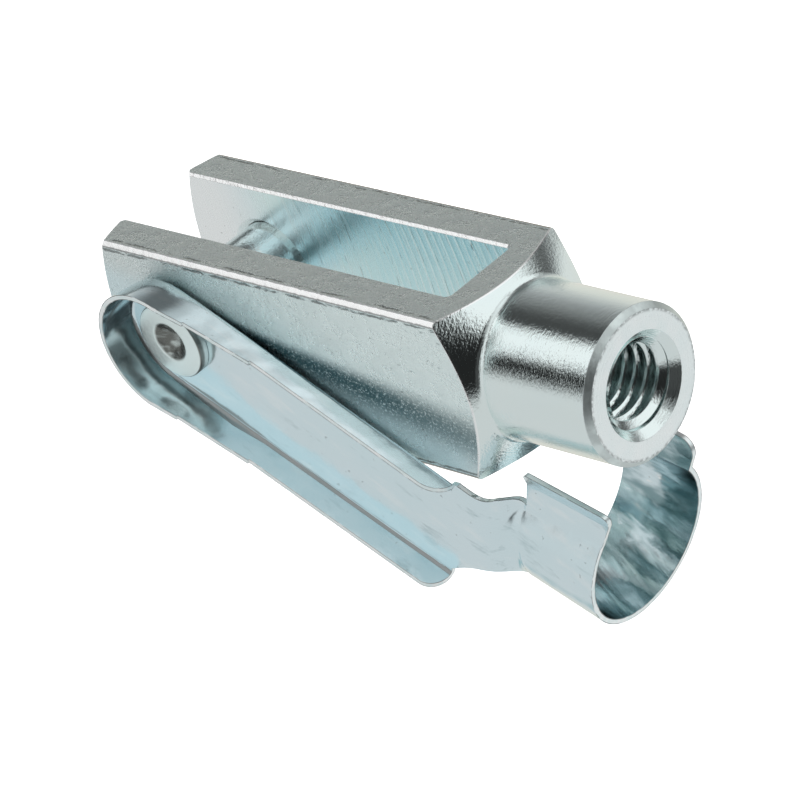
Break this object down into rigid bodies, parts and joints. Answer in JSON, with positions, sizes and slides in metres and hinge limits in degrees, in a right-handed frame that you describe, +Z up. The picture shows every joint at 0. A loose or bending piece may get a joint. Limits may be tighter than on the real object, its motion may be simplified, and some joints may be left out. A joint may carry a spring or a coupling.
{
  "type": "fork head with spring clip pin",
  "caption": "Fork head for a threaded tension rod, with a cross pin held by a folded spring clip that swings open and snaps round the neck.",
  "frame": {"origin": "where the pin's axis crosses the rod's axis, midway between the ears", "axes": "+X along the rod's axis, out of the threaded neck; the pin lies along Y, with the spring clip on the -Y side; +Z is up"},
  "size_m": [0.0579, 0.0212, 0.033],
  "materials": {
    "zinc_bar": "bright zinc plate over milled and turned steel",
    "zinc_pin": "bright zinc plate over turned steel",
    "zinc_sheet": "smooth bright zinc plate over spring sheet"
  },
  "bodies": {
    "fork": {"fork_head": "zinc_bar"},
    "pin": {"clevis_pin": "zinc_pin"},
    "clip": {"spring_clip": "zinc_sheet"}
  },
  "joints": [
    {"name": "pin_pull", "type": "slide", "parent": "fork", "child": "pin", "axis": [0, -1, 0], "range_m": [0, 0.016]},
    {"name": "clip_swing", "type": "hinge", "parent": "pin", "child": "clip", "pos_m": [0, -0.0085, 0], "axis": [0, 1, 0], "range_deg": [-22.4, 312], "deforming": ["spring_clip"]}
  ]
}
